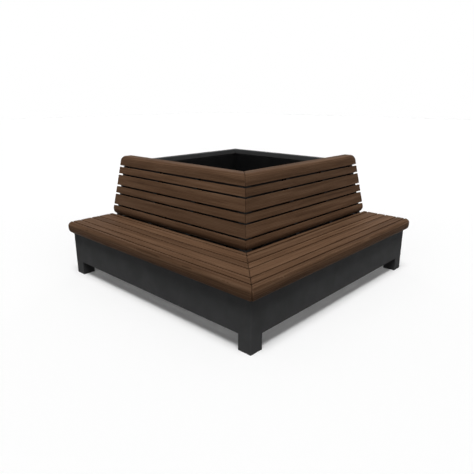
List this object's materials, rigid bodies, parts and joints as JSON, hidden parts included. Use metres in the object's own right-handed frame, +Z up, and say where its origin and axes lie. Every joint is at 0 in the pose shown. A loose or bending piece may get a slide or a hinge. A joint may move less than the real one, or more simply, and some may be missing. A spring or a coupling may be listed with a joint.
{
  "type": "corner bench",
  "caption": "Mitred corner bench: slatted timber seat and leaning slatted backrests wrap the sides of a square powder-coated steel planter box on short square legs.",
  "frame": {"origin": "on the floor, in the middle of the square that the bench covers", "axes": "+Z up; the left arm runs along X and faces -Y, the right arm runs along Y and faces +X, the planter is towards -X +Y"},
  "size_m": [2.01, 2.01, 0.9318],
  "materials": {
    "timber": "dark brown oiled hardwood, fine straight grain",
    "steel": "charcoal black powder coat, fine texture",
    "fasteners": "plain stainless steel",
    "liner": "matt black polyethylene"
  },
  "bodies": {
    "root": {"back_corner_bracket": "steel", "back_screws": "fasteners", "bracket_bolts": "fasteners", "corner_leg": "steel", "floor_joists": "steel", "foot_plates": "steel", "left_back_bottom_board": "timber", "left_back_brackets": "steel", "left_back_cap": "timber", "left_back_slat_1": "timber", "left_back_slat_2": "timber", "left_back_slat_3": "timber", "left_back_slat_4": "timber", "left_end_panel": "steel", "left_leg": "steel", "left_nose_strip": "steel", "left_planter_front_wall": "steel", "left_planter_leg": "steel", "left_planter_rear_wall": "steel", "left_seat_bearers": "steel", "left_seat_ledger": "steel", "left_seat_nose": "timber", "left_seat_rear_strip": "timber", "left_seat_slat_1": "timber", "left_seat_slat_2": "timber", "left_seat_slat_3": "timber", "left_seat_slat_4": "timber", "left_skirt": "steel", "liner_base": "liner", "liner_walls": "liner", "mitre_bearer": "steel", "nose_screws": "fasteners", "planter_floor": "steel", "planter_inner_leg": "steel", "planter_rear_leg": "steel", "right_back_bottom_board": "timber", "right_back_brackets": "steel", "right_back_cap": "timber", "right_back_slat_1": "timber", "right_back_slat_2": "timber", "right_back_slat_3": "timber", "right_back_slat_4": "timber", "right_end_panel": "steel", "right_leg": "steel", "right_nose_strip": "steel", "right_planter_front_wall": "steel", "right_planter_leg": "steel", "right_planter_rear_wall": "steel", "right_seat_bearers": "steel", "right_seat_ledger": "steel", "right_seat_nose": "timber", "right_seat_rear_strip": "timber", "right_seat_slat_1": "timber", "right_seat_slat_2": "timber", "right_seat_slat_3": "timber", "right_seat_slat_4": "timber", "right_skirt": "steel", "seat_screws": "fasteners"}
  },
  "joints": []
}
